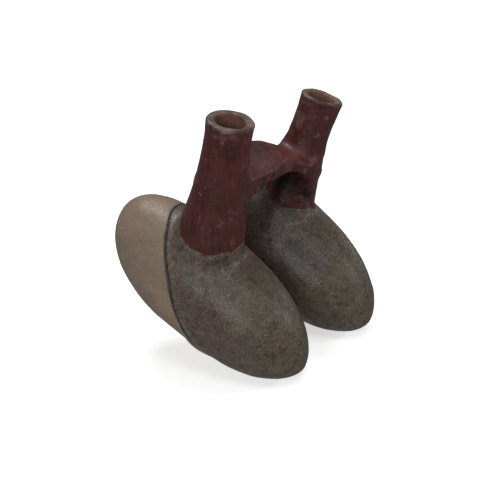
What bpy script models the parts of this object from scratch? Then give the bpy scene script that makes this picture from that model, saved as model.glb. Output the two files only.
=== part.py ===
"""A hollow fired-clay vessel: two reclining bodies, two spouts and the bridge that joins them.

Metres, +Z up. The dark, low ends of the bodies point towards -Y, and the two bodies lie side by
side along X. The vessel rests on the flat soles under its bodies, at Z = 0.
"""
import math

import bmesh
import bpy
from mathutils import Matrix, Vector

# Bodies: two turned spindles, widest at their middle section and tipped down towards -Y. The axis
# of each sags a little towards its front tip and rises towards its rear one.
BODY_HALF_WIDTH = 0.0315
BODY_HALF_HEIGHT = 0.0326
BODY_FRONT_LENGTH = 0.0855
BODY_REAR_LENGTH = 0.0584
BODY_FRONT_RISE = -0.0020
BODY_REAR_RISE = 0.0060
BODY_PITCH = math.radians(24.4)
BODY_SPLAY = math.radians(1.4)
BODY_SPACING = 0.0714
BODY_HEIGHT_AT_MIDDLE = 0.0488
FRONT_FULLNESS = 2.80
FRONT_POINT = 0.60
REAR_FULLNESS = 2.16
REAR_POINT = 0.49

# Soles: the blunt keel of clay under each body, which the ground cuts flat.
SOLE_HALF_WIDTH = 0.0128
SOLE_HALF_LENGTH = 0.0350
SOLE_HALF_HEIGHT = 0.0150
SOLE_CENTRE_Y = -0.0258
SOLE_CENTRE_HEIGHT = 0.0139
SOLE_SECTION_POWER = 1.6
SOLE_LENGTH_POWER = 4.0

# Spouts: each leans and bends a little in its own way, and is cut off square at its lip.
NEAR_FOOT = Vector((-0.0369, -0.0134, 0.0820))
NEAR_BEND = Vector((0.0006, -0.0009, 0.0))
NEAR_LIP = Vector((-0.0332, -0.0242, 0.1519))
NEAR_LIP_RADIUS = 0.0135
NEAR_WAIST_RADIUS = 0.0147
NEAR_FOOT_RADIUS = 0.0204
NEAR_LIP_WALL = 0.0046
FAR_FOOT = Vector((0.0368, -0.0147, 0.0785))
FAR_BEND = Vector((-0.0003, 0.0003, 0.0))
FAR_LIP = Vector((0.0530, -0.0266, 0.1381))
FAR_LIP_RADIUS = 0.0120
FAR_WAIST_RADIUS = 0.0125
FAR_FOOT_RADIUS = 0.0170
FAR_LIP_WALL = 0.0036
FOOT_DEPTH = 0.0180
FOOT_EASING = 0.1
LIP_OVERRUN = 0.0100

# Bridge: a solid strap of clay from spout to spout, whose top slopes down from its back edge to its
# front edge, which is pinched up at one place. Its ends are rounded off inside the spouts.
BRIDGE_Y = -0.0222
BRIDGE_HALF_WIDTH = 0.0113
BRIDGE_SECTION_POWER = 6.0
BRIDGE_END_ROUNDING = 0.0140
BRIDGE_NEAR_X = -0.0185
BRIDGE_FAR_X = 0.0325
BRIDGE_TOP_TURN_X = 0.0
BACK_EDGE_NEAR = 0.1295
BACK_EDGE_TURN = 0.1270
BACK_EDGE_FAR = 0.1109
BACK_EDGE_POWER = 1.15
FRONT_EDGE_NEAR = 0.1154
FRONT_EDGE_TURN = 0.1154
FRONT_EDGE_FAR = 0.1028
FRONT_EDGE_POWER = 2.0
PINCH_X = 0.0105
PINCH_REACH = 0.0050
PINCH_HEIGHT = 0.0030
UNDERSIDE_NEAR = 0.1040
UNDERSIDE_TURN = 0.1065
UNDERSIDE_FAR = 0.0943
UNDERSIDE_TURN_X = -0.0030
UNDERSIDE_POWER = 2.8

# Wall of fired clay, the same all over.
WALL = 0.0053

# Fineness of the skin and of the surface of the cavity, and what softening takes off the skin.
SKIN_CELL = 0.0016
SKIN_SOFTENING = 22
SKIN_ALLOWANCE = 0.0002
BRIDGE_ALLOWANCE = 0.0009
CAVITY_CELL = 0.0020
CAVITY_SOFTENING = 12
SKIN_SHARE = 0.070
CAVITY_SHARE = 0.095
RING_COUNT = 40
TURN_STEPS = 48
END_SHARE = 0.999
GROUND_REACH = 0.30


def clear_scene():
    """Empty the file of objects."""
    for thing in list(bpy.data.objects):
        bpy.data.objects.remove(thing, do_unlink=True)


def new_collection(name):
    """A collection of the scene."""
    group = bpy.data.collections.new(name)
    bpy.context.scene.collection.children.link(group)
    return group


def mesh_object(name, points, edges, faces, group):
    """An object from plain lists."""
    mesh = bpy.data.meshes.new(name)
    mesh.from_pydata(points, edges, faces)
    thing = bpy.data.objects.new(name, mesh)
    group.objects.link(thing)
    return thing


def settle(thing):
    """Replace an object's mesh by what its modifiers and its place make of it."""
    bpy.context.view_layer.update()
    graph = bpy.context.evaluated_depsgraph_get()
    mesh = bpy.data.meshes.new_from_object(thing.evaluated_get(graph))
    mesh.transform(thing.matrix_world)
    thing.modifiers.clear()
    thing.matrix_world = Matrix.Identity(4)
    thing.data = mesh
    return thing


def loft(name, rings, group):
    """A closed skin over rings of equally many points, with a flat cap at each end."""
    count = len(rings[0])
    points = [point for ring in rings for point in ring]
    faces = []
    for row in range(len(rings) - 1):
        for step in range(count):
            after = (step + 1) % count
            low = row * count
            high = low + count
            faces.append((low + step, low + after, high + after, high + step))
    faces.append(tuple(reversed(range(count))))
    faces.append(tuple(range(len(points) - count, len(points))))
    return mesh_object(name, points, [], faces, group)


def ring(centre, across, upward, power=2.0):
    """Points of |u|^power + |v|^power = 1 with u along across and v along upward: 2 is an ellipse."""
    points = []
    for step in range(TURN_STEPS):
        angle = math.tau * step / TURN_STEPS
        u = math.copysign(abs(math.cos(angle)) ** (2.0 / power), math.cos(angle))
        v = math.copysign(abs(math.sin(angle)) ** (2.0 / power), math.sin(angle))
        points.append(centre + across * u + upward * v)
    return points


def turned_body(side, inset, group):
    """One spindle, laid down on its side, pitched and splayed; inset makes the space inside it.

    The radius at the share t of the length from the middle to a tip is (1 - t^fullness)^point, and
    the axis there has risen by t^2 of the rise at the tip.
    """
    radius = BODY_HALF_WIDTH - inset
    profile = []
    for step in range(RING_COUNT + 1):
        share = math.sin(math.pi * (step / RING_COUNT - 0.5))
        if share > 0.0:
            swell = max(1.0 - share ** FRONT_FULLNESS, 0.0) ** FRONT_POINT
            along = -share * (BODY_FRONT_LENGTH - inset)
        else:
            swell = max(1.0 - (-share) ** REAR_FULLNESS, 0.0) ** REAR_POINT
            along = -share * (BODY_REAR_LENGTH - inset)
        profile.append((radius * swell, along, 0.0))
    edges = [(step, step + 1) for step in range(RING_COUNT)]
    body = mesh_object("body", profile, edges, [], group)
    turn = body.modifiers.new("turn", "SCREW")
    turn.axis = "Y"
    turn.steps = TURN_STEPS
    turn.render_steps = TURN_STEPS
    turn.use_merge_vertices = True
    turn.merge_threshold = 0.00005
    flatten = Matrix.Diagonal((1.0, 1.0, (BODY_HALF_HEIGHT - inset) / radius, 1.0))
    body.matrix_world = flatten
    settle(body)
    for corner in body.data.vertices:
        along = corner.co.y
        if along < 0.0:
            corner.co.z += BODY_FRONT_RISE * (along / BODY_FRONT_LENGTH) ** 2
        else:
            corner.co.z += BODY_REAR_RISE * (along / BODY_REAR_LENGTH) ** 2
    tip = Matrix.Rotation(BODY_PITCH, 4, "X")
    splay = Matrix.Rotation(-side * BODY_SPLAY, 4, "Z")
    place = Matrix.Translation((side * BODY_SPACING / 2, 0.0, BODY_HEIGHT_AT_MIDDLE))
    body.data.transform(place @ splay @ tip)
    return face_outwards(body)


def sole(side, inset, group):
    """The keel under a body: |x/a|^n + |z/c|^n + |y/b|^m = 1; its hollow rises clear of the ground."""
    lift = inset * (SOLE_HALF_HEIGHT - SOLE_CENTRE_HEIGHT) / WALL
    centre = Vector((side * BODY_SPACING / 2, SOLE_CENTRE_Y, SOLE_CENTRE_HEIGHT + lift))
    rings = []
    for step in range(RING_COUNT + 1):
        share = END_SHARE * math.sin(math.pi * (step / RING_COUNT - 0.5))
        swell = (1.0 - abs(share) ** SOLE_LENGTH_POWER) ** (1.0 / SOLE_SECTION_POWER)
        middle = centre + Vector((0.0, share * (SOLE_HALF_LENGTH - inset), 0.0))
        across = Vector((swell * (SOLE_HALF_WIDTH - inset), 0.0, 0.0))
        upward = Vector((0.0, 0.0, swell * (SOLE_HALF_HEIGHT - inset)))
        rings.append(ring(middle, across, upward, SOLE_SECTION_POWER))
    return face_outwards(loft("sole", rings, group))


def spout(foot, bend, lip, radii, foot_inset, lip_inset, group):
    """A tube along a gently bent axis, from inside the body to past its lip.

    Its radius is the parabola through those at foot, waist and lip; below the foot it grows no more.
    """
    foot_radius, waist_radius, lip_radius = radii
    knee = (foot + lip) / 2 + bend
    length = (lip - foot).length
    first = -FOOT_DEPTH / length
    last = 1.0 + LIP_OVERRUN / length
    rings = []
    for step in range(RING_COUNT + 1):
        share = first + (last - first) * step / RING_COUNT
        rest = 1.0 - share
        centre = foot * rest * rest + knee * 2.0 * share * rest + lip * share * share
        along = ((knee - foot) * rest + (lip - knee) * share).normalized()
        eased = (share + math.sqrt(share * share + FOOT_EASING * FOOT_EASING)) / 2
        left = 1.0 - eased
        radius = foot_radius * left * (left - eased) + 4.0 * waist_radius * eased * left
        radius -= lip_radius * eased * (left - eased)
        radius -= foot_inset * left + lip_inset * eased
        across = Vector((0.0, 1.0, 0.0)).cross(along).normalized()
        upward = along.cross(across)
        rings.append(ring(centre, across * radius, upward * radius))
    return face_outwards(loft("spout", rings, group))


def strap_height(x, turn_x, near, turn, far, far_power):
    """A height that runs from its turning value, by share squared to near and share^far_power to far."""
    if x < turn_x:
        share = min((turn_x - x) / (turn_x - BRIDGE_NEAR_X), 1.0)
        return turn + (near - turn) * share * share
    share = min((x - turn_x) / (BRIDGE_FAR_X - turn_x), 1.0)
    return turn + (far - turn) * share ** far_power


def bridge(group):
    """The strap between the spouts, from the axis of one to the axis of the other."""
    start = (NEAR_FOOT.x + NEAR_LIP.x) / 2
    end = (FAR_FOOT.x + FAR_LIP.x) / 2
    rings = []
    for step in range(RING_COUNT + 1):
        share = END_SHARE * math.sin(math.pi * (step / RING_COUNT - 0.5))
        x = (start + end) / 2 + (end - start) / 2 * share
        past = max(abs(x - (start + end) / 2) - (end - start) / 2 + BRIDGE_END_ROUNDING, 0.0)
        shrink = math.sqrt(1.0 - (past / BRIDGE_END_ROUNDING) ** 2)
        back = strap_height(x, BRIDGE_TOP_TURN_X, BACK_EDGE_NEAR, BACK_EDGE_TURN, BACK_EDGE_FAR,
                            BACK_EDGE_POWER)
        front = strap_height(x, BRIDGE_TOP_TURN_X, FRONT_EDGE_NEAR, FRONT_EDGE_TURN, FRONT_EDGE_FAR,
                             FRONT_EDGE_POWER)
        front += PINCH_HEIGHT * math.exp(-(((x - PINCH_X) / PINCH_REACH) ** 2))
        under = strap_height(x, UNDERSIDE_TURN_X, UNDERSIDE_NEAR, UNDERSIDE_TURN, UNDERSIDE_FAR,
                             UNDERSIDE_POWER) - BRIDGE_ALLOWANCE
        top = (back + front) / 2 + BRIDGE_ALLOWANCE
        tilt = (back - front) / (2.0 * BRIDGE_HALF_WIDTH)
        centre = Vector((x, BRIDGE_Y, (top + under) / 2))
        across = Vector((0.0, shrink * BRIDGE_HALF_WIDTH, 0.0))
        upward = Vector((0.0, 0.0, shrink * (top - under) / 2))
        section = ring(centre, across, upward, BRIDGE_SECTION_POWER)
        for point in section:
            from_under = (point.z - under) / (top - under)
            point.z += tilt * (point.y - BRIDGE_Y) * from_under
        rings.append(section)
    return face_outwards(loft("bridge", rings, group))


def face_outwards(thing):
    """Turn all faces of a closed mesh outwards."""
    shape = bmesh.new()
    shape.from_mesh(thing.data)
    bmesh.ops.recalc_face_normals(shape, faces=shape.faces)
    shape.to_mesh(thing.data)
    shape.free()
    return thing


def limbs(inset, group):
    """Bodies, soles and spouts; inset makes the spaces inside them."""
    near_radii = (NEAR_FOOT_RADIUS, NEAR_WAIST_RADIUS, NEAR_LIP_RADIUS)
    far_radii = (FAR_FOOT_RADIUS, FAR_WAIST_RADIUS, FAR_LIP_RADIUS)
    near_inset = NEAR_LIP_WALL * inset / WALL
    far_inset = FAR_LIP_WALL * inset / WALL
    return [
        turned_body(-1, inset, group),
        turned_body(1, inset, group),
        sole(-1, inset, group),
        sole(1, inset, group),
        spout(NEAR_FOOT, NEAR_BEND, NEAR_LIP, near_radii, inset, near_inset, group),
        spout(FAR_FOOT, FAR_BEND, FAR_LIP, far_radii, inset, far_inset, group),
    ]


def united(name, pieces):
    """All pieces as one form."""
    form = pieces[0]
    form.name = name
    form.data.name = name
    for piece in pieces[1:]:
        join = form.modifiers.new("join", "BOOLEAN")
        join.operation = "UNION"
        join.object = piece
    settle(form)
    for piece in pieces[1:]:
        bpy.data.objects.remove(piece, do_unlink=True)
    return form


def soften(form, cell, rounds, share):
    """Blend the joins of a form into fillets, then thin its mesh."""
    even = form.modifiers.new("even", "REMESH")
    even.mode = "VOXEL"
    even.voxel_size = cell
    smooth = form.modifiers.new("smooth", "SMOOTH")
    smooth.iterations = rounds
    thin = form.modifiers.new("thin", "DECIMATE")
    thin.ratio = share
    return settle(form)


def half_space(name, point, normal, group):
    """A large block whose one face lies on a plane, for cutting a form off flat there."""
    bpy.ops.mesh.primitive_cube_add(size=GROUND_REACH)
    block = bpy.context.object
    block.name = name
    for home in list(block.users_collection):
        home.objects.unlink(block)
    group.objects.link(block)
    turn = normal.to_track_quat("Z", "Y").to_matrix().to_4x4()
    block.matrix_world = Matrix.Translation(point + normal.normalized() * GROUND_REACH / 2) @ turn
    return block


def clay():
    """Dark reduced clay with a low burnish."""
    material = bpy.data.materials.new("fired_clay")
    material.use_nodes = True
    shader = material.node_tree.nodes["Principled BSDF"]
    shader.inputs["Base Color"].default_value = (0.135, 0.105, 0.085, 1.0)
    shader.inputs["Roughness"].default_value = 0.5
    shader.inputs["Metallic"].default_value = 0.0
    return material


def centre_on_origin(thing):
    """Move a mesh so that its bounding box is centred on the Z axis and stands on Z = 0."""
    corners = [Vector(corner) for corner in thing.bound_box]
    low = Vector(min(corner[axis] for corner in corners) for axis in range(3))
    high = Vector(max(corner[axis] for corner in corners) for axis in range(3))
    middle = (low + high) / 2
    thing.data.transform(Matrix.Translation((-middle.x, -middle.y, -low.z)))


clear_scene()
vessel_group = new_collection("stirrup_spout_vessel")
cutter_group = new_collection("cutters")

outside = united("vessel", limbs(-SKIN_ALLOWANCE, vessel_group) + [bridge(vessel_group)])
inside = united("cavity", limbs(WALL, cutter_group))
vessel = soften(outside, SKIN_CELL, SKIN_SOFTENING, SKIN_SHARE)
cavity = soften(inside, CAVITY_CELL, CAVITY_SOFTENING, CAVITY_SHARE)
cutters = [
    cavity,
    half_space("ground", Vector((0.0, 0.0, 0.0)), Vector((0.0, 0.0, -1.0)), cutter_group),
    half_space("above_near_lip", NEAR_LIP, NEAR_LIP - NEAR_FOOT, cutter_group),
    half_space("above_far_lip", FAR_LIP, FAR_LIP - FAR_FOOT, cutter_group),
]
for cutter in cutters:
    cut = vessel.modifiers.new(cutter.name, "BOOLEAN")
    cut.operation = "DIFFERENCE"
    cut.object = cutter
settle(vessel)
for cutter in cutters:
    bpy.data.objects.remove(cutter, do_unlink=True)
centre_on_origin(vessel)
vessel.data.materials.clear()
vessel.data.materials.append(clay())
vessel.data.shade_smooth()
vessel.data.set_sharp_from_angle(angle=math.radians(40.0))
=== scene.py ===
# %% [markdown]
# # A twin-bodied clay vessel
# The vessel is one lump of fired clay: two hollow bodies that recline side by side, a spout on each,
# and a saddle-shaped bridge between the spouts. It was built up from slabs and coils, burnished while
# leather-hard, and dipped or brushed with a red slip from the lips down to the shoulders.
#
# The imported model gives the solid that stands, pours and is weighed. Here the same forms are worked out
# again, finely enough to carry rounded lips, fillets, a scored line, wear and a finish.

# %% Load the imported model
import math

import bpy
import numpy as np
from mathutils import Matrix, Vector


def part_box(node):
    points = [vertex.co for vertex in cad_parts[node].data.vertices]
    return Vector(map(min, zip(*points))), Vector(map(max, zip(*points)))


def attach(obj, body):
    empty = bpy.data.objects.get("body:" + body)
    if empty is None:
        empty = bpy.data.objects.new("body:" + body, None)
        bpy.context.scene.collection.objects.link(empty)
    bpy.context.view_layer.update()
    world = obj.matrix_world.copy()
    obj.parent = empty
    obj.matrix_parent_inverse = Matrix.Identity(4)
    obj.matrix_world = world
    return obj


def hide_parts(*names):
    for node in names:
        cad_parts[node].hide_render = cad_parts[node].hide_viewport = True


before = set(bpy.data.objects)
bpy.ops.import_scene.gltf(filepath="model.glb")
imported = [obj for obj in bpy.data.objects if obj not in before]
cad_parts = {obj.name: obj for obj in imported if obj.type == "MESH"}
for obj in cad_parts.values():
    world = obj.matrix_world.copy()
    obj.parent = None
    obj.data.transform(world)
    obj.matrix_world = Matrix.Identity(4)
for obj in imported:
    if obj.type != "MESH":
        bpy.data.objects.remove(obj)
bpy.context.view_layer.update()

# %% [markdown]
# ## Measures
# A potter would note the length, width and tilt of a body before building it. All lengths are in
# millimetres, x runs across the vessel, y from the low dark ends to the pale rear ends, and z upwards
# from the table. The near body is the one at negative x.

# %% Sizes of the bodies and their soles
MM = 0.001
NEAR, FAR = -1, 1
BODY_HALF_WIDTH = 31.5
BODY_HALF_HEIGHT = 32.6
BODY_FRONT_LENGTH = 85.5
BODY_REAR_LENGTH = 58.4
BODY_FRONT_RISE = -2.0
BODY_REAR_RISE = 6.0
FRONT_FULLNESS, FRONT_POINT = 2.80, 0.60
REAR_FULLNESS, REAR_POINT = 2.16, 0.49
BODY_PITCH = math.radians(24.4)
BODY_SPLAY = math.radians(1.4)
BODY_HALF_SPACING = 35.7
BODY_HEIGHT_AT_MIDDLE = 48.8
SOLE_HALF_WIDTH, SOLE_HALF_LENGTH, SOLE_HALF_HEIGHT = 12.8, 35.0, 15.0
SOLE_CENTRE_Y, SOLE_CENTRE_HEIGHT = -25.8, 13.9
SOLE_SECTION_POWER, SOLE_LENGTH_POWER = 1.6, 4.0
FIELD_EVENNESS = 0.53
WALL = 5.3

# %% [markdown]
# ## Forms as fields
# A grid wrapped round one limb can't follow a vessel whose limbs branch and join again, and patched
# grids show their seams. So each form is a field instead: a function of all three coordinates that is
# negative in the clay, zero on its surface and grows by about one for each millimetre outwards. Fields
# join with a fillet by taking the lesser of the two and rounding off the corner between them. A tiny
# number is added wherever a formula would otherwise divide by zero.


# %% Join and cut fields with a rounded corner
def joined(one, other, fillet):
    """The lesser of two fields, lowered by h^2 fillet / 4 where they differ by less than fillet.

    h is 1 - |one - other| / fillet, and nothing below zero.
    """
    near_corner = np.maximum(fillet - np.abs(one - other), 0.0) / fillet
    return np.minimum(one, other) - near_corner ** 2 * fillet / 4.0


def cut(form, keep, rounding):
    """The part of a form that also lies in keep: the greater of the two, with its edge rounded."""
    return -joined(-form, -keep, rounding)


# %% [markdown]
# ## The two bodies
# Each body is a spindle with a blunt rear and a long, tapering front. It could be turned as a profile
# round an axis. As a field, the same profile says how far any point is from the skin.


# %% Field of a body
def body_field(x, y, z, side):
    """rho^(1/point) + t^fullness - 1, turned into millimetres by the length of its gradient.

    rho is the distance from the axis as a share of the greatest radius, and t the share of the length
    from the middle to the tip. The axis itself rises by t^2 of the rise at the tip. The power
    FIELD_EVENNESS keeps the field even from the axis to far outside.
    """
    turn = side * BODY_SPLAY
    x = x - side * BODY_HALF_SPACING
    z = z - BODY_HEIGHT_AT_MIDDLE
    x, y = math.cos(turn) * x - math.sin(turn) * y, math.sin(turn) * x + math.cos(turn) * y
    along = math.cos(BODY_PITCH) * y + math.sin(BODY_PITCH) * z
    up = math.cos(BODY_PITCH) * z - math.sin(BODY_PITCH) * y
    front = along < 0.0
    length = np.where(front, BODY_FRONT_LENGTH, BODY_REAR_LENGTH)
    fullness = np.where(front, FRONT_FULLNESS, REAR_FULLNESS)
    point = 1.0 / np.where(front, FRONT_POINT, REAR_POINT)
    share = np.abs(along) / length
    up = up - np.where(front, BODY_FRONT_RISE, BODY_REAR_RISE) * share ** 2
    rho = np.sqrt((x / BODY_HALF_WIDTH) ** 2 + (up / BODY_HALF_HEIGHT) ** 2) + 1e-9
    value = rho ** point + share ** fullness + 1e-9
    outward = point * rho ** (point - 2.0)
    slope_x = outward * x / BODY_HALF_WIDTH ** 2
    slope_up = outward * up / BODY_HALF_HEIGHT ** 2
    slope_along = fullness * share ** (fullness - 1.0) / length
    slope = np.sqrt(slope_x ** 2 + slope_up ** 2 + slope_along ** 2) + 1e-9
    even = FIELD_EVENNESS
    return (value ** even - 1.0) / (even * value ** (even - 1.0) * slope)


def sole_field(x, y, z, side):
    """(|x/a|^n + |z/c|^n + |y/b|^m - 1) over the length of its gradient: the keel under a body."""
    x = np.abs(x - side * BODY_HALF_SPACING) + 1e-6
    y = np.abs(y - SOLE_CENTRE_Y) + 1e-6
    z = np.abs(z - SOLE_CENTRE_HEIGHT) + 1e-6
    n, m = SOLE_SECTION_POWER, SOLE_LENGTH_POWER
    value = (x / SOLE_HALF_WIDTH) ** n + (z / SOLE_HALF_HEIGHT) ** n + (y / SOLE_HALF_LENGTH) ** m
    slope_x = n * x ** (n - 1.0) / SOLE_HALF_WIDTH ** n
    slope_z = n * z ** (n - 1.0) / SOLE_HALF_HEIGHT ** n
    slope_y = m * y ** (m - 1.0) / SOLE_HALF_LENGTH ** m
    return (value - 1.0) / np.sqrt(slope_x ** 2 + slope_y ** 2 + slope_z ** 2)


# %% [markdown]
# ## The two spouts
# A spout is a tube drawn up from the shoulder. Its axis is a gentle curve from foot to lip, and its
# radius shrinks from the foot to the waist and the lip. The near one stands nearly upright, and the far
# one leans outwards and is thinner and shorter.

# %% Sizes of the spouts
NEAR_SPOUT = {
    "foot": np.array([-36.9, -13.4, 82.0]),
    "bend": np.array([0.6, -0.9, 0.0]),
    "lip": np.array([-32.9, -24.2, 152.5]),
    "radii": (20.4, 14.7, 13.5),
    "lip_wall": 4.6,
}
FAR_SPOUT = {
    "foot": np.array([36.8, -14.7, 78.5]),
    "bend": np.array([-0.3, 0.3, 0.0]),
    "lip": np.array([52.9, -26.6, 138.8]),
    "radii": (17.0, 12.6, 12.3),
    "lip_wall": 3.6,
}
FOOT_DEPTH = 18.0
FOOT_EASING = 0.1
LIP_OVERRUN = 10.0
print("lips", NEAR_SPOUT["lip"][2], "and", FAR_SPOUT["lip"][2], "mm above the table")


# %% Field of a spout
def spout_field(x, y, z, spout):
    """Distance from the point of the curved axis at the same height along it, less the radius there.

    The axis is foot (1-t)^2 + 2 knee t (1-t) + lip t^2, and the radius is the parabola through those
    at foot, waist and lip. Returns the field and t.
    """
    foot, lip = spout["foot"], spout["lip"]
    knee = (foot + lip) / 2.0 + spout["bend"]
    run = lip - foot
    length = np.linalg.norm(run)
    level = ((x - foot[0]) * run[0] + (y - foot[1]) * run[1] + (z - foot[2]) * run[2]) / length ** 2
    first = -FOOT_DEPTH / length
    t = np.clip(level, first, 1.0 + LIP_OVERRUN / length)
    rest = 1.0 - t
    off = [
        coordinate - (foot[axis] * rest ** 2 + knee[axis] * 2.0 * t * rest + lip[axis] * t ** 2)
        for axis, coordinate in enumerate((x, y, z))
    ]
    below = np.where(level < first, sum(off[axis] * run[axis] / length for axis in range(3)), 0.0)
    radial = np.sqrt(sum((off[axis] - below * run[axis] / length) ** 2 for axis in range(3)))
    foot_radius, waist_radius, lip_radius = spout["radii"]
    eased = (t + np.sqrt(t ** 2 + FOOT_EASING ** 2)) / 2.0
    left = 1.0 - eased
    radius = foot_radius * left * (left - eased) + 4.0 * waist_radius * eased * left
    radius = radius - lip_radius * eased * (left - eased)
    return np.maximum(radial - radius, (first - level) * length), level


def above_lip(x, y, z, spout):
    """Distance above the plane that cuts a spout off square at its lip."""
    run = (spout["lip"] - spout["foot"]) / np.linalg.norm(spout["lip"] - spout["foot"])
    lip = spout["lip"]
    return (x - lip[0]) * run[0] + (y - lip[1]) * run[1] + (z - lip[2]) * run[2]


# %% [markdown]
# ## The bridge
# The bridge is a solid strap of clay with an arch under it for a finger. The potter pressed its top
# flat, so that it slopes down to a crisp front edge, and smeared its ends into the spouts. Its section
# is a rounded oblong, whose top and underside follow two separate curves from spout to spout.

# %% Sizes of the bridge
BRIDGE_Y, BRIDGE_HALF_WIDTH = -22.2, 11.3
BRIDGE_END_ROUNDING = 14.0
BRIDGE_NEAR_X, BRIDGE_FAR_X = -18.5, 32.5
BRIDGE_SECTION_POWER = 6.0
BRIDGE_TILT_REACH = 20.0
BACK_EDGE = {"near": 129.5, "turn": 127.0, "far": 110.9, "turn_x": 0.0, "power": 1.15}
FRONT_EDGE = {"near": 115.4, "turn": 115.4, "far": 102.8, "turn_x": 0.0, "power": 2.0}
UNDERSIDE = {"near": 104.0, "turn": 106.5, "far": 94.3, "turn_x": -3.0, "power": 2.8}
PINCH_X, PINCH_REACH, PINCH_HEIGHT = 10.5, 5.0, 3.0


# %% Field of the bridge
def strap_height(x, curve):
    """turn + (end - turn) share^2 towards the near end, and share^power towards the far one."""
    to_near = np.clip((curve["turn_x"] - x) / (curve["turn_x"] - BRIDGE_NEAR_X), 0.0, 1.0)
    to_far = np.clip((x - curve["turn_x"]) / (BRIDGE_FAR_X - curve["turn_x"]), 0.0, 1.0)
    near = curve["turn"] + (curve["near"] - curve["turn"]) * to_near ** 2
    far = curve["turn"] + (curve["far"] - curve["turn"]) * to_far ** curve["power"]
    return np.where(x < curve["turn_x"], near, far)


def bridge_field(x, y, z):
    """(|v|^n + |u|^n)^(2/n) + e^2, its root less 1, over the length of its gradient.

    v is the distance across and u the one up from the middle of the section, each as a share of half
    its size there. e is the distance past the place where the ends begin to round off, as a share of
    their rounding.
    """
    back = strap_height(x, BACK_EDGE)
    front = strap_height(x, FRONT_EDGE) + PINCH_HEIGHT * np.exp(-((x - PINCH_X) / PINCH_REACH) ** 2)
    tilt = (back - front) / (2.0 * BRIDGE_HALF_WIDTH)
    top = (back + front) / 2.0 + tilt * np.clip(y - BRIDGE_Y, -BRIDGE_TILT_REACH, BRIDGE_TILT_REACH)
    under = strap_height(x, UNDERSIDE)
    half_height = (top - under) / 2.0
    across = np.abs(y - BRIDGE_Y) / BRIDGE_HALF_WIDTH + 1e-6
    up = np.abs(z - (top + under) / 2.0) / half_height + 1e-6
    start = (NEAR_SPOUT["foot"][0] + NEAR_SPOUT["lip"][0]) / 2.0
    end = (FAR_SPOUT["foot"][0] + FAR_SPOUT["lip"][0]) / 2.0
    past = np.abs(x - (start + end) / 2.0) - ((end - start) / 2.0 - BRIDGE_END_ROUNDING)
    past = np.maximum(past, 0.0) / BRIDGE_END_ROUNDING
    power = BRIDGE_SECTION_POWER
    section = (across ** power + up ** power) ** (1.0 / power)
    rho = np.sqrt(section ** 2 + past ** 2)
    slope_y = section ** (2.0 - power) * across ** (power - 1.0) / BRIDGE_HALF_WIDTH
    slope_z = section ** (2.0 - power) * up ** (power - 1.0) / half_height
    slope_x = past / BRIDGE_END_ROUNDING
    return (rho - 1.0) * rho / np.sqrt(slope_x ** 2 + slope_y ** 2 + slope_z ** 2 + 1e-9)


# %% [markdown]
# ## One clay shell
# The forms are joined with fillets, as wet clay is smoothed into a joint with a thumb. The space inside
# is the same field moved inwards by the thickness of the wall, which grows thinner towards each lip. The
# lips are cut square and their edges rounded, as a wet thumb leaves them.

# %% Field of the whole vessel
BODY_FILLET, SPOUT_FILLET, BETWEEN_BODIES_FILLET = 6.0, 5.0, 1.0
BRIDGE_NEAR_FILLET, BRIDGE_FAR_FILLET = 4.0, 10.0
LIP_OUTER_ROUNDING, LIP_INNER_ROUNDING, GROUND_ROUNDING = 1.6, 1.8, 1.0


def half_fields(x, y, z):
    """Each body joined with its sole and its spout: the near half and the far half of the vessel."""
    halves = []
    for side, spout in ((NEAR, NEAR_SPOUT), (FAR, FAR_SPOUT)):
        body = joined(body_field(x, y, z, side), sole_field(x, y, z, side), BODY_FILLET)
        halves.append(joined(body, spout_field(x, y, z, spout)[0], SPOUT_FILLET))
    return halves


def solid_field(x, y, z):
    """Both halves and the bridge as one field, without the space inside."""
    near_half, far_half = half_fields(x, y, z)
    halves = joined(near_half, far_half, BETWEEN_BODIES_FILLET)
    to_far = np.clip((x - BRIDGE_NEAR_X) / (BRIDGE_FAR_X - BRIDGE_NEAR_X), 0.0, 1.0)
    fillet = BRIDGE_NEAR_FILLET + (BRIDGE_FAR_FILLET - BRIDGE_NEAR_FILLET) * to_far
    return joined(halves, bridge_field(x, y, z), fillet)


def space_field(x, y, z):
    """The half on whose side a point lies, which the space inside follows; the bridge is solid."""
    near_half, far_half = half_fields(x, y, z)
    return np.where(x < 0.0, near_half, far_half)


def wall_thickness(x, y, z):
    """WALL at the bodies, shrinking evenly up each spout to the thickness of its lip."""
    near_level = np.clip(spout_field(x, y, z, NEAR_SPOUT)[1], 0.0, 1.0) * (x < 0.0)
    far_level = np.clip(spout_field(x, y, z, FAR_SPOUT)[1], 0.0, 1.0) * (x >= 0.0)
    near_loss = (WALL - NEAR_SPOUT["lip_wall"]) * near_level
    return WALL - near_loss - (WALL - FAR_SPOUT["lip_wall"]) * far_level


def shell_field(points):
    """The solid cut off at the lips and the table, less the space inside it."""
    x, y, z = points
    solid = solid_field(x, y, z)
    outside = cut(solid, above_lip(x, y, z, NEAR_SPOUT), LIP_OUTER_ROUNDING)
    outside = cut(outside, above_lip(x, y, z, FAR_SPOUT), LIP_OUTER_ROUNDING)
    outside = cut(outside, -z, GROUND_ROUNDING)
    space = np.maximum(space_field(x, y, z) + wall_thickness(x, y, z), WALL - z)
    return cut(outside, -space, LIP_INNER_ROUNDING)


# %% [markdown]
# ## From field to mesh
# The field is sampled on a cubic grid. Wherever the surface passes through a cube, one corner of the
# mesh is put at the mean of the places where it crosses the cube's edges, and each crossed grid edge
# gives a quad between the four cubes round it. This gives one closed skin, whatever the branches. Then
# each corner is slid along the field's slope until it lies exactly on the surface.

# %% Sample the field and net its surface
CELL = 1.3
LEAST_SLOPE_SQUARED = 0.05
LOW_CORNER, HIGH_CORNER = np.array([-72.0, -82.0, -2.6]), np.array([72.0, 58.0, 158.0])
SLAB = 24


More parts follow.
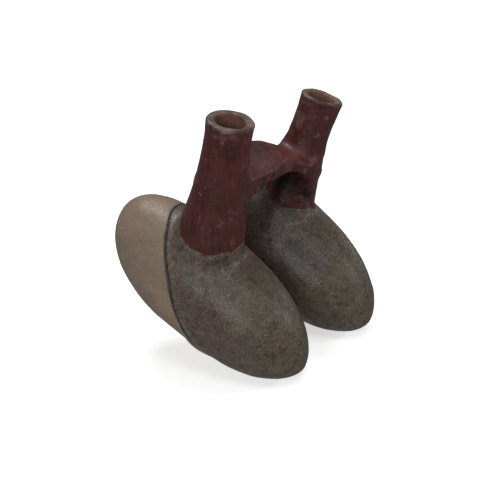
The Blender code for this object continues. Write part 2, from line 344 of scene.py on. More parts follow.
def net_surface(field, low, high, cell):
    """Corners and quads of the surface where a field is zero, by the net of crossed cubes."""
    counts = [int(math.ceil((high[axis] - low[axis]) / cell)) + 1 for axis in range(3)]
    ticks = [low[axis] + cell * np.arange(counts[axis]) for axis in range(3)]
    values = np.empty(counts, np.float32)
    for start in range(0, counts[0], SLAB):
        slab = np.meshgrid(ticks[0][start:start + SLAB], ticks[1], ticks[2], indexing="ij")
        values[start:start + SLAB] = field(slab)
    clay = values < 0.0
    corners = [np.array((i, j, k)) for i in (0, 1) for j in (0, 1) for k in (0, 1)]
    inside = np.zeros([count - 1 for count in counts], np.int8)
    for i, j, k in corners:
        inside += clay[i:counts[0] - 1 + i, j:counts[1] - 1 + j, k:counts[2] - 1 + k]
    crossed = (inside > 0) & (inside < 8)
    cubes = np.argwhere(crossed)
    number = np.full(crossed.shape, -1, np.int64)
    number[crossed] = np.arange(len(cubes))
    total = np.zeros((len(cubes), 3))
    hits = np.zeros((len(cubes), 1))
    for axis in range(3):
        step = np.eye(3, dtype=int)[axis]
        for corner in corners:
            if corner[axis]:
                continue
            one = values[tuple((cubes + corner).T)]
            other = values[tuple((cubes + corner + step).T)]
            hit = ((one < 0.0) != (other < 0.0))[:, None]
            share = np.where(hit[:, 0], one / (one - other + 1e-30), 0.0)[:, None]
            total += (corner + step * share) * hit
            hits += hit
    points = (cubes + total / hits) * cell + low
    quads = []
    for axis in range(3):
        step, second, third = (np.eye(3, dtype=int)[(axis + turn) % 3] for turn in range(3))
        ends = tuple(slice(None, -1) if step[i] else slice(None) for i in range(3))
        starts = tuple(slice(1, None) if step[i] else slice(None) for i in range(3))
        edges = np.argwhere(clay[ends] != clay[starts])
        around = [edges - second - third, edges - third, edges, edges - second]
        quad = np.stack([number[tuple(place.T)] for place in around], 1)
        outwards = clay[tuple(edges.T)]
        quads.append(np.where(outwards[:, None], quad, quad[:, ::-1]))
    return points, np.concatenate(quads)


# %% Slide corners onto the surface
def slope_of(field, points, reach=0.02):
    """Gradient of a field at points, by differences over a short reach."""
    rises = []
    for axis in range(3):
        step = np.eye(3)[axis][:, None] * reach
        rises.append((field(points.T + step) - field(points.T - step)) / (2.0 * reach))
    return np.stack(rises, 1)


def slide_onto(field, points, rounds):
    """Newton's step, field times slope over slope squared, repeated and never over one millimetre."""
    for _ in range(rounds):
        slope = slope_of(field, points)
        step = field(points.T) / np.maximum((slope ** 2).sum(1), LEAST_SLOPE_SQUARED)
        points = points - slope * np.clip(step, -1.0, 1.0)[:, None]
    return points


def evened(points, faces, rounds):
    """Each corner moved half way to the mean of its neighbours, which evens out the net."""
    ends = np.concatenate([faces[:, [side, (side + 1) % faces.shape[1]]] for side in range(faces.shape[1])])
    for _ in range(rounds):
        total = np.zeros_like(points)
        for axis in range(3):
            total[:, axis] += np.bincount(ends[:, 0], points[ends[:, 1], axis], len(points))
            total[:, axis] += np.bincount(ends[:, 1], points[ends[:, 0], axis], len(points))
        number = np.bincount(ends.ravel(), minlength=len(points))
        points = (points + total / number[:, None]) / 2.0
    return points


corners, quads = net_surface(shell_field, LOW_CORNER, HIGH_CORNER, CELL)
corners = slide_onto(shell_field, evened(corners, quads, 2), 3)
print("net of", len(quads), "quads")

# %% [markdown]
# ## Fewer faces where nobody looks
# The space inside is seen only down the mouths, so its faces are thinned with a Decimate modifier that
# is held to them by a vertex group. The skin keeps its even net. A corner counts as inside when it
# lies deeper than four fifths of the wall.

# %% Put the net into a mesh and thin the inside
INSIDE_SHARE = 0.62
INSIDE_DEPTH, SKIN_DEPTH = 0.8, 0.7


def mesh_from(name, points, faces):
    """A mesh from corners in millimetres and faces of equally many corners, with smooth shading."""
    sides = faces.shape[1]
    mesh = bpy.data.meshes.new(name)
    mesh.vertices.add(len(points))
    mesh.vertices.foreach_set("co", (points * MM).astype(np.float32).ravel())
    mesh.loops.add(faces.size)
    mesh.loops.foreach_set("vertex_index", faces.astype(np.int32).ravel())
    mesh.polygons.add(len(faces))
    mesh.polygons.foreach_set("loop_start", np.arange(len(faces), dtype=np.int32) * sides)
    mesh.update(calc_edges=True)
    mesh.shade_smooth()
    return mesh


def settled_mesh(thing):
    """The mesh that an object's modifiers make, as a new mesh."""
    bpy.context.view_layer.update()
    graph = bpy.context.evaluated_depsgraph_get()
    return bpy.data.meshes.new_from_object(thing.evaluated_get(graph))


def triangles_of(mesh):
    """Corners in millimetres and triangles of a mesh."""
    points = np.empty(len(mesh.vertices) * 3, np.float32)
    mesh.vertices.foreach_get("co", points)
    mesh.calc_loop_triangles()
    triangles = np.empty(len(mesh.loop_triangles) * 3, np.int32)
    mesh.loop_triangles.foreach_get("vertices", triangles)
    return points.reshape(-1, 3).astype(float) / MM, triangles.reshape(-1, 3).astype(np.int64)


rough = bpy.data.objects.new("rough_vessel", mesh_from("rough_vessel", corners, quads))
bpy.context.scene.collection.objects.link(rough)
depth = -space_field(*corners.T)
inner = np.flatnonzero(depth > INSIDE_DEPTH * wall_thickness(*corners.T))
group = rough.vertex_groups.new(name="space_inside")
group.add([int(number) for number in inner], 1.0, "REPLACE")
thin = rough.modifiers.new("thin", "DECIMATE")
thin.vertex_group = group.name
thin.vertex_group_factor = 10.0
thin.ratio = INSIDE_SHARE
corners, triangles = triangles_of(settled_mesh(rough))
bpy.data.objects.remove(rough, do_unlink=True)
print("thinned to", len(triangles), "triangles")

# %% [markdown]
# ## Finer faces where detail sits
# The scored line and the rounded lips need a finer net than the rest. Every triangle that touches such
# a place is split in four, and its neighbours are split in two or three so that no gap opens. This is
# done once for both places, and once more close beside the line.

# %% Split triangles near a place
LINE_POINT = np.array([56.9, 0.9, 66.6])
LINE_NORMAL = np.array([-0.2365, -0.918, 0.3183])
SPLIT_REACHES = ((3.0, 4.5), (1.6, 0.0))
OFF_TABLE, OFF_SPOUT = 1.0, 0.5


def behind_line(x, y, z):
    """Distance behind the plane of the scored line, the same on both bodies, mirrored across x = 0."""
    off = (np.abs(x) - LINE_POINT[0], y - LINE_POINT[1], z - LINE_POINT[2])
    return -(off[0] * LINE_NORMAL[0] + off[1] * LINE_NORMAL[1] + off[2] * LINE_NORMAL[2])


def split_near(points, faces, wanted):
    """Split every edge of the wanted triangles at its middle, and share the new corners."""
    sides = np.stack([faces[:, [0, 1]], faces[:, [1, 2]], faces[:, [2, 0]]], 1)
    ordered = np.sort(sides, 2).reshape(-1, 2)
    edges, which = np.unique(ordered, axis=0, return_inverse=True)
    which = which.reshape(-1, 3)
    marked = np.zeros(len(edges), bool)
    marked[which[wanted].ravel()] = True
    number = np.full(len(edges), -1)
    number[marked] = len(points) + np.arange(marked.sum())
    middles = (points[edges[marked, 0]] + points[edges[marked, 1]]) / 2.0
    middle = number[which]
    halves = (middle >= 0).sum(1)
    made = [faces[halves == 0]]
    a, b, c = faces[halves == 3].T
    ab, bc, ca = middle[halves == 3].T
    made += [np.stack(piece, 1) for piece in ((a, ab, ca), (ab, b, bc), (ca, bc, c), (ab, bc, ca))]
    for turn in range(3):
        a, b, c = (faces[:, (turn + step) % 3] for step in range(3))
        ab, bc, ca = (middle[:, (turn + step) % 3] for step in range(3))
        one = (halves == 1) & (ab >= 0)
        made += [np.stack(piece, 1)[one] for piece in ((a, ab, c), (ab, b, c))]
        two = (halves == 2) & (ca < 0)
        made += [np.stack(piece, 1)[two] for piece in ((a, ab, bc), (ab, b, bc), (a, bc, c))]
    return np.concatenate([points, middles]), np.concatenate(made)


def lip_distance(x, y, z):
    """Depth below the plane of the nearer lip."""
    return np.where(x < 0.0, -above_lip(x, y, z, NEAR_SPOUT), -above_lip(x, y, z, FAR_SPOUT))


def is_skin(points):
    """True for points that aren't inside the vessel."""
    return -space_field(*points.T) < SKIN_DEPTH * wall_thickness(*points.T)


for line_reach, lip_reach in SPLIT_REACHES:
    centres = corners[triangles].mean(1)
    on_body = is_skin(centres) & (centres[:, 2] > OFF_TABLE)
    on_body &= spout_field(*centres.T, NEAR_SPOUT)[0] > OFF_SPOUT
    at_line = on_body & (np.abs(behind_line(*centres.T)) < line_reach)
    at_lip = lip_distance(*centres.T) < lip_reach
    corners, triangles = split_near(corners, triangles, at_line | at_lip)
corners = slide_onto(shell_field, corners, 2)
print("refined to", len(triangles), "triangles")

# %% [markdown]
# ## The marks of the hand
# Nothing built by hand is true. The skin swells and dips by a fraction of a millimetre, the lips are
# worn uneven and flare a little, and a line was scored round each body where the pale rear meets the
# dark front. Two thumbs pressed hollows into the top of the bridge. The swelling is a sum of slow waves
# whose directions come from a seeded draw, so that it is the same each time.


# %% Unevenness, scored line and worn lips
def slow_waves(points, wavelength, seed, count=14):
    """Mean of sines of the position, each with its own direction and phase, between about -1 and 1."""
    chance = np.random.default_rng(seed)
    directions = chance.normal(size=(count, 3))
    directions *= (2.0 * math.pi / wavelength) / np.linalg.norm(directions, axis=1)[:, None]
    directions *= chance.uniform(0.6, 1.5, (count, 1))
    phases = chance.uniform(0.0, 2.0 * math.pi, count)
    return np.sin(points @ directions.T + phases).sum(1) / math.sqrt(count)


SWELL_HEIGHT, SWELL_LENGTH = 0.16, 26.0
RIPPLE_HEIGHT, RIPPLE_LENGTH = 0.06, 11.0
LINE_DEPTH, LINE_HALF_WIDTH = 0.45, 0.55
LINE_WAVER, LINE_WAVER_LENGTH = 0.35, 30.0
LIP_WEAR, LIP_WEAR_LENGTH, LIP_WEAR_REACH = 0.18, 12.0, 3.0
LIP_FLARE, LIP_FLARE_REACH = 0.45, 7.0
SKIN_FADE, TABLE_CLEARANCE, TABLE_FADE = 2.0, 0.5, 4.0
THUMB_PRESSES = (((-8.0, -24.0, 119.0), 9.0, 1.6), ((21.0, -24.0, 112.0), 6.0, 0.8))
slope = slope_of(shell_field, corners)
outward = slope / np.linalg.norm(slope, axis=1)[:, None]
skin = np.clip(1.0 + solid_field(*corners.T) / SKIN_FADE, 0.0, 1.0)
clear_of_table = np.clip((corners[:, 2] - TABLE_CLEARANCE) / TABLE_FADE, 0.0, 1.0)
swell = SWELL_HEIGHT * slow_waves(corners, SWELL_LENGTH, 3)
swell = swell + RIPPLE_HEIGHT * slow_waves(corners, RIPPLE_LENGTH, 4)
behind = behind_line(*corners.T) + LINE_WAVER * slow_waves(corners, LINE_WAVER_LENGTH, 5)
beside_spout = np.clip(spout_field(*corners.T, NEAR_SPOUT)[0] - 1.0, 0.0, 1.0)
beside_spout *= np.clip(spout_field(*corners.T, FAR_SPOUT)[0] - 1.0, 0.0, 1.0)
score = LINE_DEPTH * np.exp(-(behind / LINE_HALF_WIDTH) ** 2) * beside_spout * skin
at_lip = np.clip(1.0 - lip_distance(*corners.T) / LIP_WEAR_REACH, 0.0, 1.0)
flare = np.exp(-(lip_distance(*corners.T) / LIP_FLARE_REACH) ** 2)
lip_wear = at_lip * LIP_WEAR * slow_waves(corners, LIP_WEAR_LENGTH, 6) + LIP_FLARE * flare * skin
press = np.zeros(len(corners))
for place, reach, depth in THUMB_PRESSES:
    press += depth * np.exp(-((corners - np.array(place)) ** 2).sum(1) / reach ** 2)
move = (swell * skin + lip_wear - score - press * skin) * clear_of_table
corners = corners + outward * move[:, None]
print("moved by", round(float(move.min()), 2), "to", round(float(move.max()), 2), "mm")

# %% [markdown]
# ## Place it where the model is
# The fields stand round the middle of the bodies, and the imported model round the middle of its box. The
# difference is one move along x and y, and the camera makes the same move.

# %% Build the vessel where the model is
box_low, box_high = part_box("vessel")
skin_low, skin_high = corners.min(0), corners.max(0)
SHIFT = np.array([(box_low[axis] + box_high[axis]) / 2 / MM - (skin_low[axis] + skin_high[axis]) / 2
                  for axis in range(2)] + [0.0])
vessel = bpy.data.objects.new("burnished_vessel", mesh_from("burnished_vessel", corners + SHIFT, triangles))
bpy.context.scene.collection.objects.link(vessel)
print("vessel", len(vessel.data.polygons), "triangles, moved", SHIFT.round(2), "mm")

# %% [markdown]
# ## Numbers for the finish
# Five numbers go with each corner: its height above the edge of the slip, its distance behind the
# scored line, its depth below the lip, its depth in the wall as a share of the wall, and how far
# forward it is. The slip ends on the spouts, a few millimetres off the skin of the body, and runs
# lower on the outer side of the farther spout. No slip lies low on the bodies or far from a spout.


# %% Keep the numbers and bind the vessel to the model
def keep_values(mesh, name, values):
    """Store one number for each corner, for the material to read."""
    layer = mesh.attributes.new(name, "FLOAT", "POINT")
    layer.data.foreach_set("value", np.asarray(values, np.float32))


x, y, z = corners.T
near_body = body_field(x, y, z, NEAR)
far_body = body_field(x, y, z, FAR)
SLIP_LOWEST, SLIP_REACH = 55.0, 30.0
NEAR_SLIP_EDGE, FAR_SLIP_EDGE = 8.0, 5.0
FAR_SLIP_DROP, FAR_DROP_X, FAR_DROP_REACH = 3.5, 25.0, 17.0
off_spouts = np.minimum(spout_field(x, y, z, NEAR_SPOUT)[0], spout_field(x, y, z, FAR_SPOUT)[0])
far_edge = FAR_SLIP_EDGE - FAR_SLIP_DROP * np.clip((x - FAR_DROP_X) / FAR_DROP_REACH, 0.0, 1.0)
slip = np.where(x < 0.0, near_body - NEAR_SLIP_EDGE, far_body - far_edge)
slip = np.minimum(slip, z - SLIP_LOWEST)
slip = np.minimum(slip, SLIP_REACH - off_spouts)
wall_share = np.clip(-space_field(x, y, z) / wall_thickness(x, y, z), 0.0, 1.0)
keep_values(vessel.data, "above_slip_edge", slip)
keep_values(vessel.data, "behind_line", behind)
keep_values(vessel.data, "below_lip", lip_distance(x, y, z))
keep_values(vessel.data, "wall_share", wall_share)
keep_values(vessel.data, "toward_tip", -y / BODY_FRONT_LENGTH)
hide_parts("vessel")
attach(vessel, "root")
print("slip on", int((slip > 0.0).sum()), "of", len(corners), "corners")

# %% [markdown]
# ## The finish
# Four finishes run into each other on one skin: pale clay at the rear, dark clay at the front, red slip
# on the spouts and bridge, and bare brown clay inside the mouths. The numbers kept at each corner say
# where one ends and the next begins, and noise makes the borders waver as a brush does.

# %% Helpers for shader nodes
clay = bpy.data.materials.new("burnished_clay")
clay.use_nodes = True
tree = clay.node_tree
tree.nodes.clear()


def plug(value, socket):
    """Put a number, a colour or another node's output into a socket."""
    if isinstance(value, bpy.types.NodeSocket):
        tree.links.new(value, socket)
    elif isinstance(value, tuple) and len(value) == 3 and socket.type == "RGBA":
        socket.default_value = (*value, 1.0)
    else:
        socket.default_value = value


def sum_up(operation, one, other=0.0):
    """One step of arithmetic."""
    step = tree.nodes.new("ShaderNodeMath")
    step.operation = operation
    plug(one, step.inputs[0])
    plug(other, step.inputs[1])
    return step.outputs[0]


def wavered(value, uneven, amount):
    """value + (uneven - 1/2) amount, so that a border that follows the value wanders."""
    swing = sum_up("MULTIPLY", sum_up("SUBTRACT", uneven, 0.5), amount)
    return sum_up("ADD", value, swing)


def ramp(value, low, high, start=0.0, end=1.0):
    """A smooth rise from start to end as a value goes from low to high."""
    step = tree.nodes.new("ShaderNodeMapRange")
    step.interpolation_type = "SMOOTHSTEP"
    for number, socket in zip((value, low, high, start, end), step.inputs[:5]):
        plug(number, socket)
    return step.outputs[0]


def blend(share, one, other):
    """One colour into another, by a share from 0 to 1."""
    step = tree.nodes.new("ShaderNodeMix")
    step.data_type = "RGBA"
    plug(share, step.inputs[0])
    plug(one, step.inputs[6])
    plug(other, step.inputs[7])
    return step.outputs[2]


def kept(name):
    """A number kept at the corners of the mesh."""
    step = tree.nodes.new("ShaderNodeAttribute")
    step.attribute_name = name
    return step.outputs["Fac"]


where = tree.nodes.new("ShaderNodeTexCoord").outputs["Object"]


def noise(scale, detail=3.0, roughness=0.55, distortion=0.0, stretch=(1.0, 1.0, 1.0)):
    """Cloudy noise, scale in waves a metre, between about 0.3 and 0.7.

    A stretch under 1 draws it out along that axis, and the turn keeps its lattice off the axes.
    """
    turned = tree.nodes.new("ShaderNodeMapping")
    plug(where, turned.inputs["Vector"])
    turned.inputs["Rotation"].default_value = (BODY_PITCH, 0.0, 0.0)
    turned.inputs["Scale"].default_value = stretch
    step = tree.nodes.new("ShaderNodeTexNoise")
    plug(turned.outputs[0], step.inputs["Vector"])
    step.inputs["Scale"].default_value = scale
    step.inputs["Detail"].default_value = detail
    step.inputs["Roughness"].default_value = roughness
    step.inputs["Distortion"].default_value = distortion
    return step.outputs["Fac"]


# %% [markdown]
# ### Clay colours
# Each clay has three kinds of variation: slow clouds from the fire, a coarse and a fine grain, and
# streaks that the burnishing pebble left from front to rear. The pale clay greys in patches. The dark
# clay is brown-grey with purplish clouds and goes to olive at the low tip. Dust lies in its scratches,
# and soot in its pores.

# %% Pale and dark clay
clouds = noise(22.0, 4.0, 0.6, 0.3)
patches = noise(60.0, 4.0, 0.6, 0.5)
mottle = noise(210.0, 3.0, 0.6)
coarse = noise(520.0, 2.0, 0.65)
grain = noise(1100.0, 2.0, 0.7)
fine = noise(2600.0, 1.0, 0.5)
streaks = noise(130.0, 3.0, 0.6, 0.2, (1.0, 0.16, 1.0))
scratches = noise(330.0, 2.0, 0.5, 0.8, (1.0, 0.09, 1.0))

PALE_CLAY, PALE_WARM, PALE_GREY = (0.132, 0.098, 0.069), (0.165, 0.117, 0.076), (0.092, 0.072, 0.057)
# The darkest clay colour serves for soot in the pores and also for painted shade between the bodies.
DARK_CLAY, DARK_OLIVE, DARK_PURPLE = (0.058, 0.042, 0.032), (0.062, 0.052, 0.032), (0.056, 0.036, 0.034)
DARK_DUSTY, DARK_SOOT_AND_SHADE = (0.120, 0.098, 0.077), (0.012, 0.010, 0.009)
pale = blend(ramp(clouds, 0.42, 0.6), PALE_CLAY, PALE_WARM)
pale = blend(ramp(patches, 0.5, 0.68, 0.0, 0.6), pale, PALE_GREY)
pale = blend(ramp(coarse, 0.42, 0.66, 0.0, 0.4), pale, PALE_GREY)
pale = blend(ramp(grain, 0.42, 0.62, 0.0, 0.6), pale, PALE_GREY)
dark = blend(ramp(clouds, 0.4, 0.62), DARK_PURPLE, DARK_CLAY)
dark = blend(ramp(patches, 0.48, 0.66, 0.0, 0.8), dark, DARK_OLIVE)
dark = blend(ramp(kept("toward_tip"), 0.3, 1.0, 0.0, 0.7), dark, DARK_OLIVE)
dark = blend(ramp(streaks, 0.50, 0.72, 0.0, 0.35), dark, DARK_DUSTY)
dark = blend(ramp(coarse, 0.48, 0.72, 0.0, 0.25), dark, DARK_DUSTY)
dark = blend(ramp(grain, 0.46, 0.68, 0.0, 0.65), dark, DARK_DUSTY)
dark = blend(ramp(scratches, 0.62, 0.70, 0.0, 0.55), dark, DARK_DUSTY)
dark = blend(ramp(mottle, 0.50, 0.70, 0.0, 0.55), dark, DARK_SOOT_AND_SHADE)
dark = blend(ramp(fine, 0.46, 0.66, 0.0, 0.80), dark, DARK_SOOT_AND_SHADE)
print("clays done,", len(tree.nodes), "nodes so far")

# %% [markdown]
# ### Red slip and bare clay
# The slip is a thin coat of fine red clay, laid on in upright strokes that show as darker bands. It
# has worn to orange clay in grains, and carries a little pale dust. The mouths are bare brown clay,
# and their lips are worn in pale and dark patches.

# %% Slip, mouths and lips
strokes = noise(420.0, 3.0, 0.6, 0.3, (1.0, 1.0, 0.16))
SLIP_RED, SLIP_BROWN, SLIP_PURPLE = (0.058, 0.0088, 0.0098), (0.036, 0.0095, 0.0080), (0.043, 0.0125, 0.0155)
# The dust colour also serves as a painted sheen on the top of the bridge.
SLIP_WORN, SLIP_DARK, DUST_AND_SHEEN_GREY = (0.062, 0.020, 0.010), (0.016, 0.0055, 0.0060), (0.17, 0.135, 0.120)
BARE_WARM, BARE_BROWN = (0.120, 0.050, 0.029), (0.070, 0.036, 0.025)
LIP_PALE, LIP_DARK = (0.100, 0.072, 0.058), (0.030, 0.019, 0.016)
red = blend(ramp(clouds, 0.4, 0.62), SLIP_BROWN, SLIP_RED)
red = blend(ramp(patches, 0.5, 0.7, 0.0, 0.6), red, SLIP_PURPLE)
red = blend(ramp(grain, 0.55, 0.78, 0.0, 0.35), red, SLIP_WORN)
red = blend(ramp(coarse, 0.60, 0.76, 0.0, 0.35), red, SLIP_PURPLE)
red = blend(ramp(strokes, 0.44, 0.72, 0.0, 0.6), red, SLIP_DARK)
red = blend(ramp(streaks, 0.60, 0.74, 0.0, 0.14), red, DUST_AND_SHEEN_GREY)
red = blend(ramp(strokes, 0.38, 0.28, 0.0, 0.10), red, DUST_AND_SHEEN_GREY)
bare = blend(ramp(patches, 0.4, 0.62), BARE_WARM, BARE_BROWN)
bare = blend(ramp(grain, 0.45, 0.7, 0.0, 0.4), bare, LIP_PALE)
lip_colour = blend(ramp(patches, 0.42, 0.6), LIP_PALE, LIP_DARK)
lip_colour = blend(ramp(coarse, 0.45, 0.65, 0.0, 0.5), lip_colour, LIP_DARK)
print("slip and bare clay done,", len(tree.nodes), "nodes so far")

# %% [markdown]
# ### Single marks
# Some marks sit in one place each. Dust clings to the thinner spout and to the foot of the bridge, and a
# grey film on the top of the bridge is partly dust and partly painted sheen. The front of the bridge is
# rubbed down to orange clay. Painted shade darkens the hollow under the bridge, the bridge's front and
# top and the clay below the near lip. More painted shade darkens the farther body where it faces the
# nearer one. Three pinholes pierce the burnish.


# %% Dust, rubbed clay, painted shade, painted sheen and pinholes
def mark(place, reach, wobble=2.4):
    """1 at a place on the vessel, fading to 0 at a reach from it, in millimetres.

    The distance has (mottle - 1/2) wobble reach added to it, which makes the outline uneven.
    """
    step = tree.nodes.new("ShaderNodeVectorMath")
    step.operation = "DISTANCE"
    plug(where, step.inputs[0])
    step.inputs[1].default_value = (np.array(place) + SHIFT) * MM
    distance = wavered(step.outputs["Value"], mottle, wobble * reach * MM)
    return ramp(distance, 0.1 * reach * MM, reach * MM, 1.0, 0.0)


def marks(places):
    """Several marks as one, each a place, a reach and a strength."""
    total = 0.0
    for place, reach, strength in places:
        total = sum_up("ADD", sum_up("MULTIPLY", mark(place, reach), strength), total)
    return total


dusty = marks([
    ((37.5, -21.7, 126.4), 4.5, 0.35), ((32.5, -25.4, 119.0), 2.2, 0.5), ((23.3, -22.0, 115.6), 4.0, 0.6),
    ((27.9, -26.6, 115.8), 2.0, 0.45), ((44.8, -35.1, 130.0), 1.8, 0.4), ((40.4, -32.0, 119.3), 2.4, 0.35),
    ((-46.8, -24.0, 147.4), 1.8, 0.35), ((-45.9, -28.1, 144.6), 2.0, 0.3), ((26.3, -32.2, 110.3), 3.0, 0.35),
])
dusty = sum_up("MULTIPLY", dusty, ramp(coarse, 0.38, 0.60, 0.25, 1.0))
# A grey film on the top of the bridge: partly dust, partly painted sheen.
dust_and_painted_sheen = marks([((-6.0, -22.0, 121.0), 20.0, 0.17), ((27.0, -26.0, 113.0), 9.0, 0.12)])
rubbed = marks([
    ((10.7, -33.2, 113.0), 7.5, 0.9), ((-3.5, -33.5, 111.0), 4.0, 0.4), ((-20.0, -32.0, 104.5), 7.0, 0.3),
])
# Painted shade: near black in the hollow under the arch, and darker on the bridge's front and top and below
# the near lip.
painted_shade_marks = marks([
    ((27.0, -22.0, 92.0), 18.0, 0.95), ((19.0, -35.0, 104.0), 9.0, 0.6), ((2.0, -35.0, 106.0), 8.0, 0.5),
    ((-12.0, -35.0, 106.0), 12.0, 0.7), ((46.0, -30.0, 96.0), 9.0, 0.3), ((-4.0, -22.0, 121.0), 20.0, 0.3),
    ((32.0, -30.0, 84.0), 9.0, 0.5), ((-42.0, -34.0, 140.0), 15.0, 0.35),
])
# Painted shade on the farther body, where it faces the nearer one.
painted_shade_between_bodies = marks([((14.0, -22.0, 74.0), 20.0, 0.6), ((9.0, -40.0, 58.0), 22.0, 0.7)])
PINHOLES, PINHOLE_RADIUS = ((-52.5, -63.5, 33.3), (13.6, -55.8, 39.8), (-54.2, 0.9, 79.1)), 0.8
pinholes = 0.0
for place in PINHOLES:
    pinholes = sum_up("MAXIMUM", mark(place, PINHOLE_RADIUS, 0.0), pinholes)
print("marks done,", len(tree.nodes), "nodes so far")

# %% [markdown]
# ### From colours to one coat
# The borders come from the kept numbers, wavered by noise. Then one coat goes over another: the two
# clays with painted shade between the bodies, the scored line, the slip with its wear, dust, painted sheen
# and painted shade, the bare clay of the mouths and lips, and last the specks and pores. Distances are in
# millimetres here.


# %% Borders between the finishes
def pits(scale, size):
    """1 in small round spots scattered at random, 0 elsewhere."""
    step = tree.nodes.new("ShaderNodeTexVoronoi")
    plug(where, step.inputs["Vector"])
    step.inputs["Scale"].default_value = scale
    return ramp(step.outputs["Distance"], size * 0.6, size, 1.0, 0.0)


slip_height = wavered(kept("above_slip_edge"), noise(140.0, 3.0, 0.6), 7.0)
is_slip = ramp(slip_height, -0.5, 0.5)
below_slip = sum_up("MULTIPLY", ramp(slip_height, -3.0, -0.4), ramp(coarse, 0.42, 0.62, 0.0, 0.55))
behind_it = kept("behind_line")
is_pale = ramp(wavered(behind_it, mottle, 1.5), 0.3, 1.0)
near_line = sum_up("ABSOLUTE", wavered(behind_it, mottle, 1.2))
in_line = ramp(near_line, 0.6, 1.5, 1.0, 0.0)
beside_line = sum_up("MULTIPLY", ramp(behind_it, -9.0, -1.0), ramp(behind_it, 0.0, 1.5, 1.0, 0.0))
in_wall = kept("wall_share")
lip_depth = kept("below_lip")
print("borders done,", len(tree.nodes), "nodes so far")

# %% One coat over another
# The first colour in the next line is painted shade, nearly black.
LINE_COLD, LINE_GREY = (0.010, 0.012, 0.015), (0.026, 0.027, 0.029)
PAINTED_SHADE_COLOUR, PORE = (0.006, 0.003, 0.003), (0.004, 0.004, 0.004)
dark = blend(below_slip, dark, DARK_DUSTY)
dark = blend(sum_up("MULTIPLY", beside_line, ramp(coarse, 0.45, 0.62, 0.0, 0.5)), dark, DARK_DUSTY)
# Painted shade: the farther body darkened where it faces the nearer one.
dark = blend(painted_shade_between_bodies, dark, DARK_SOOT_AND_SHADE)
body_colour = blend(is_pale, dark, pale)
line_colour = blend(ramp(patches, 0.45, 0.6), LINE_COLD, LINE_GREY)
body_colour = blend(sum_up("MULTIPLY", in_line, 0.9), body_colour, line_colour)
# Grey film on the bridge top, partly dust and partly painted sheen.
red = blend(dust_and_painted_sheen, red, DUST_AND_SHEEN_GREY)
red = blend(rubbed, red, SLIP_WORN)
# Painted shade laid over the slip under the arch, on the bridge and below the near lip.
red = blend(painted_shade_marks, red, PAINTED_SHADE_COLOUR)
red = blend(dusty, red, DUST_AND_SHEEN_GREY)
colour = blend(is_slip, body_colour, red)
colour = blend(ramp(in_wall, 0.6, 0.95), colour, bare)
colour = blend(ramp(wavered(lip_depth, mottle, 7.0), 0.6, 2.0, 0.9, 0.0), colour, lip_colour)
specks = sum_up("MULTIPLY", pits(380.0, 0.17), ramp(noise(90.0), 0.46, 0.60))
colour = blend(sum_up("MULTIPLY", specks, 0.6), colour, DUST_AND_SHEEN_GREY)
holes = sum_up("MULTIPLY", pits(95.0, 0.045), ramp(noise(40.0), 0.5, 0.6))
holes = sum_up("MAXIMUM", holes, pinholes)
colour = blend(sum_up("MULTIPLY", holes, 0.9), colour, PORE)
print("coats done,", len(tree.nodes), "nodes so far")

# %% [markdown]
# ### Sheen and relief
# Burnishing with a pebble leaves a satin sheen in soft strokes front to rear. The pale clay and the
# slip are duller than the dark clay, and the bare clay of the mouths is dullest. Grain, streaks and
# pores go into the bump, each about a tenth of a millimetre high.

# %% Shader of the clay
shader = tree.nodes.new("ShaderNodeBsdfPrincipled")
out = tree.nodes.new("ShaderNodeOutputMaterial")
tree.links.new(shader.outputs[0], out.inputs["Surface"])
plug(colour, shader.inputs["Base Color"])
shader.inputs["Specular IOR Level"].default_value = 0.19
roughness = sum_up("ADD", ramp(streaks, 0.35, 0.65, 0.27, 0.38), ramp(mottle, 0.3, 0.7, -0.03, 0.06))
for finish, duller in ((is_pale, 0.10), (is_slip, 0.07)):
    roughness = sum_up("ADD", roughness, sum_up("MULTIPLY", finish, duller))
roughness = sum_up("ADD", roughness, ramp(in_wall, 0.2, 0.6, 0.0, 0.3))
plug(roughness, shader.inputs["Roughness"])
HEIGHTS = ((grain, 0.28), (coarse, 0.28), (streaks, 0.22), (mottle, 0.18), (holes, -0.8), (is_slip, 0.10))
relief = 0.0
for texture, height in HEIGHTS:
    relief = sum_up("ADD", relief, sum_up("MULTIPLY", texture, height))
bump = tree.nodes.new("ShaderNodeBump")
bump.inputs["Strength"].default_value = 0.7
bump.inputs["Distance"].default_value = MM
plug(relief, bump.inputs["Height"])
plug(bump.outputs[0], shader.inputs["Normal"])
vessel.data.materials.append(clay)
print("finish of", len(tree.nodes), "nodes")

# %% [markdown]
# ## The floor
# The vessel stands on a plain white sheet that runs back beyond the view. A real sheet under strong
# lamps comes out pure white, with only a breath of shadow. A sheet that glows a little and reflects
# less gives the same look without lamps that would bleach the clay. The burnish would also mirror the
# glow along every rim. A photographer keeps it out with black cards laid low beside the piece, and
# here the sheet is left out of reflections. The sheet and the lamps are measured in metres.

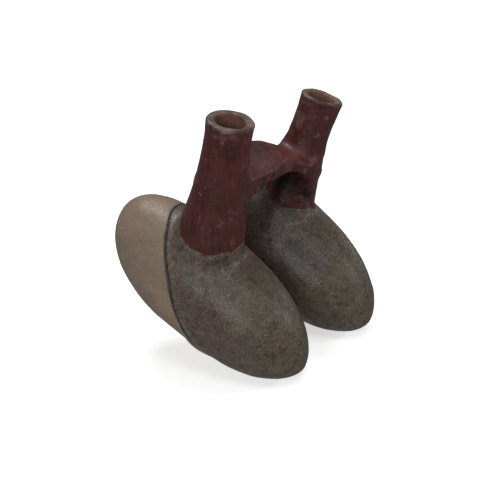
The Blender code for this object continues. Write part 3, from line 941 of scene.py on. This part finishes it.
# %% Floor
FLOOR_REACH = 2.5
SHEET_GREY, SHEET_GLOW = 0.48, 0.62
floor_mesh = bpy.data.meshes.new("floor")
floor_corners = [(-FLOOR_REACH, -FLOOR_REACH, 0.0), (FLOOR_REACH, -FLOOR_REACH, 0.0),
                 (FLOOR_REACH, FLOOR_REACH, 0.0), (-FLOOR_REACH, FLOOR_REACH, 0.0)]
floor_mesh.from_pydata(floor_corners, [], [(0, 1, 2, 3)])
floor = bpy.data.objects.new("floor", floor_mesh)
bpy.context.scene.collection.objects.link(floor)
paper = bpy.data.materials.new("white_paper")
paper.use_nodes = True
paper_shader = paper.node_tree.nodes["Principled BSDF"]
paper_shader.inputs["Base Color"].default_value = (SHEET_GREY, SHEET_GREY, SHEET_GREY, 1.0)
paper_shader.inputs["Roughness"].default_value = 0.9
paper_shader.inputs["Specular IOR Level"].default_value = 0.0
paper_shader.inputs["Emission Color"].default_value = (1.0, 1.0, 1.0, 1.0)
paper_shader.inputs["Emission Strength"].default_value = SHEET_GLOW
floor_mesh.materials.append(paper)
floor.visible_glossy = False
print("sheet", 2 * FLOOR_REACH, "m wide")

# %% [markdown]
# ## The camera
# The view is from the front and left, 30 degrees above the table, with a long lens from about 1.1 m.
# The camera first looks at a point on the table and is then turned a little, so that the vessel falls
# where it does in the frame.

# %% Camera
AZIMUTH, ELEVATION = -0.91981, math.radians(30.0)
CAMERA_DISTANCE = 1101.6
FOCAL_PIXELS, FRAME_PIXELS, SENSOR = 1800.0, 500.0, 36.0
AIM_X, AIM_Y = 231.9, 322.9
back = np.array([math.sin(AZIMUTH) * math.cos(ELEVATION), -math.cos(AZIMUTH) * math.cos(ELEVATION),
                 math.sin(ELEVATION)])
right = np.array([math.cos(AZIMUTH), math.sin(AZIMUTH), 0.0])
level_turn = Matrix(np.stack([right, np.cross(back, right), back]).tolist())
aim = Vector((AIM_X - FRAME_PIXELS / 2, FRAME_PIXELS / 2 - AIM_Y, -FOCAL_PIXELS)).normalized()
small_turn = Vector((0.0, 0.0, -1.0)).rotation_difference(aim).to_matrix()
camera_data = bpy.data.cameras.new("camera")
camera_data.sensor_width = SENSOR
camera_data.lens = SENSOR * FOCAL_PIXELS / FRAME_PIXELS
camera_data.clip_start, camera_data.clip_end = 0.05, 20.0
camera = bpy.data.objects.new("camera", camera_data)
bpy.context.scene.collection.objects.link(camera)
stand = Matrix.Translation(Vector((back * CAMERA_DISTANCE + SHIFT) * MM))
camera.matrix_world = stand @ (small_turn @ level_turn).transposed().to_4x4()
bpy.context.scene.camera = camera
print("lens", round(camera_data.lens, 1), "mm")

# %% [markdown]
# ## Light
# The burnish shows where its lamps stand: each long pale streak on the clay is the mirror image of one
# soft box. So each box was placed by working back from a streak. Two hang overhead, behind and in front
# of the vessel, one stands at the left, and two small ones at the right draw thin lines along the
# rims. The glowing sheet and a dim room fill the shadows.


# %% Lamps and room
LAMP_AIM_HEIGHT = 0.07
ROOM_LIGHT = 0.20


def soft_box(name, direction, distance, size, watts):
    """A square lamp that looks at the vessel from a direction, in metres."""
    lamp = bpy.data.lights.new(name, "AREA")
    lamp.shape = "SQUARE"
    lamp.size = size
    lamp.energy = watts
    holder = bpy.data.objects.new(name, lamp)
    bpy.context.scene.collection.objects.link(holder)
    toward = Vector(direction).normalized()
    holder.location = toward * distance + Vector((0.0, 0.0, LAMP_AIM_HEIGHT))
    holder.rotation_mode = "QUATERNION"
    holder.rotation_quaternion = toward.to_track_quat("Z", "Y")


soft_box("overhead_back", (0.25, 0.45, 0.85), 1.5, 0.55, 24.0)
soft_box("overhead_front", (-0.23, -0.43, 0.87), 1.5, 0.6, 8.5)
soft_box("left", (-0.83, -0.25, 0.43), 1.6, 0.4, 12.5)
soft_box("front_right", (0.5, -0.72, 0.47), 1.7, 0.16, 8.0)
soft_box("right", (0.98, -0.15, 0.12), 1.6, 0.2, 1.0)
room = bpy.data.worlds.new("room")
bpy.context.scene.world = room
room.use_nodes = True
room.node_tree.nodes["Background"].inputs["Color"].default_value = (1.0, 1.0, 1.0, 1.0)
room.node_tree.nodes["Background"].inputs["Strength"].default_value = ROOM_LIGHT
bpy.context.scene.view_settings.view_transform = "Standard"
